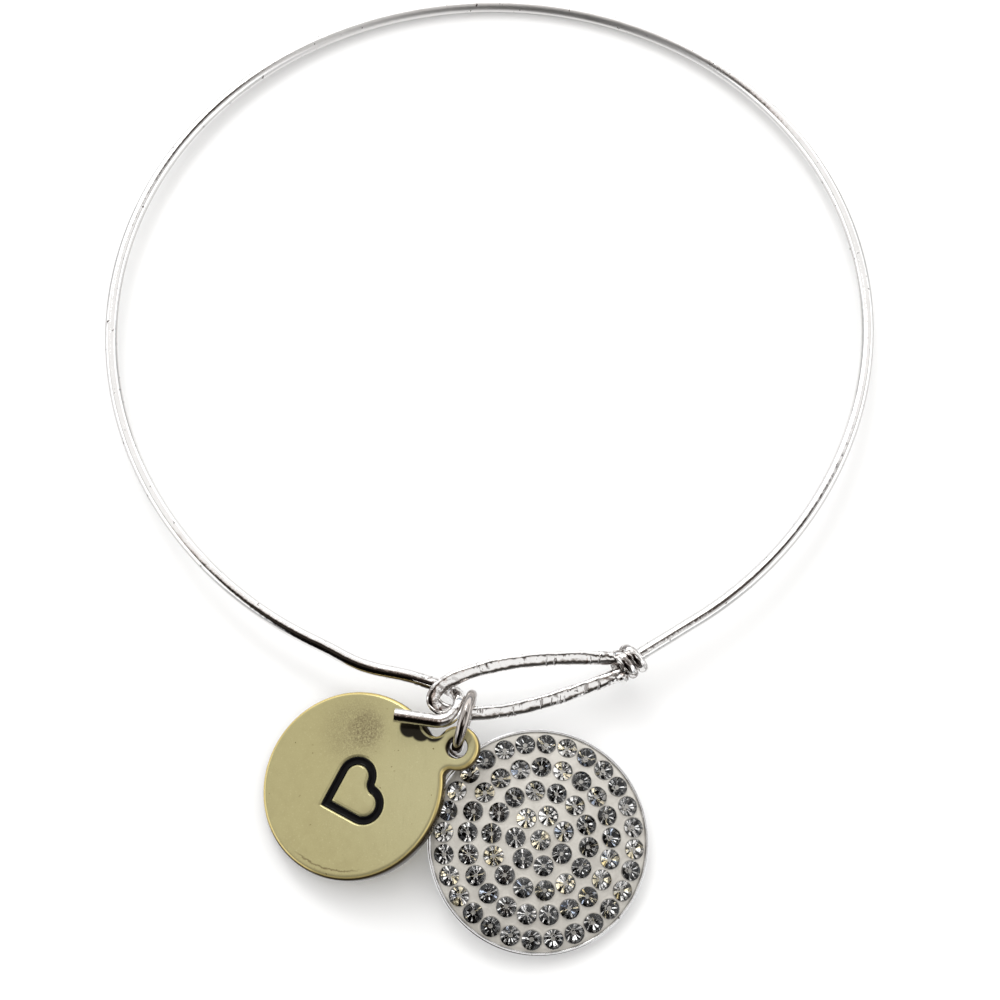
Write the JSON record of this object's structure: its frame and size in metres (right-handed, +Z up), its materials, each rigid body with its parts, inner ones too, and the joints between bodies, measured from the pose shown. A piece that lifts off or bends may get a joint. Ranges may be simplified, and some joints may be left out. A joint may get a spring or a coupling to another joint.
{
  "type": "charm bangle",
  "caption": "Thin round-wire bangle closed by a bent hook in a long flattened eye, with a plain gold-coloured disc and a crystal-covered disc on one jump ring.",
  "frame": {"origin": "on the table, below the middle of the bounding box of the bangle with its charms, lying at rest", "axes": "+Y from the clasp towards the hoop's far side, +X to the wearer's right in a view from above with the clasp nearest, +Z up from the table"},
  "size_m": [0.065, 0.085, 0.0066],
  "materials": {
    "silver_plate": "polished, with fine specks",
    "ring_metal": "polished",
    "gold_plate": "polished pale gold plate, lightly worn",
    "black_enamel": "glossy enamel",
    "cup_metal": "polished",
    "pale_clay": "matt epoxy clay",
    "crystal": "clear, cut, foiled at the back"
  },
  "bodies": {
    "root": {"bangle_wire": "silver_plate", "jump_ring": "ring_metal", "initial_disc": "gold_plate", "enamel_motif": "black_enamel", "pave_cup": "cup_metal", "clay_bed": "pale_clay", "crystals": "crystal"}
  },
  "joints": []
}
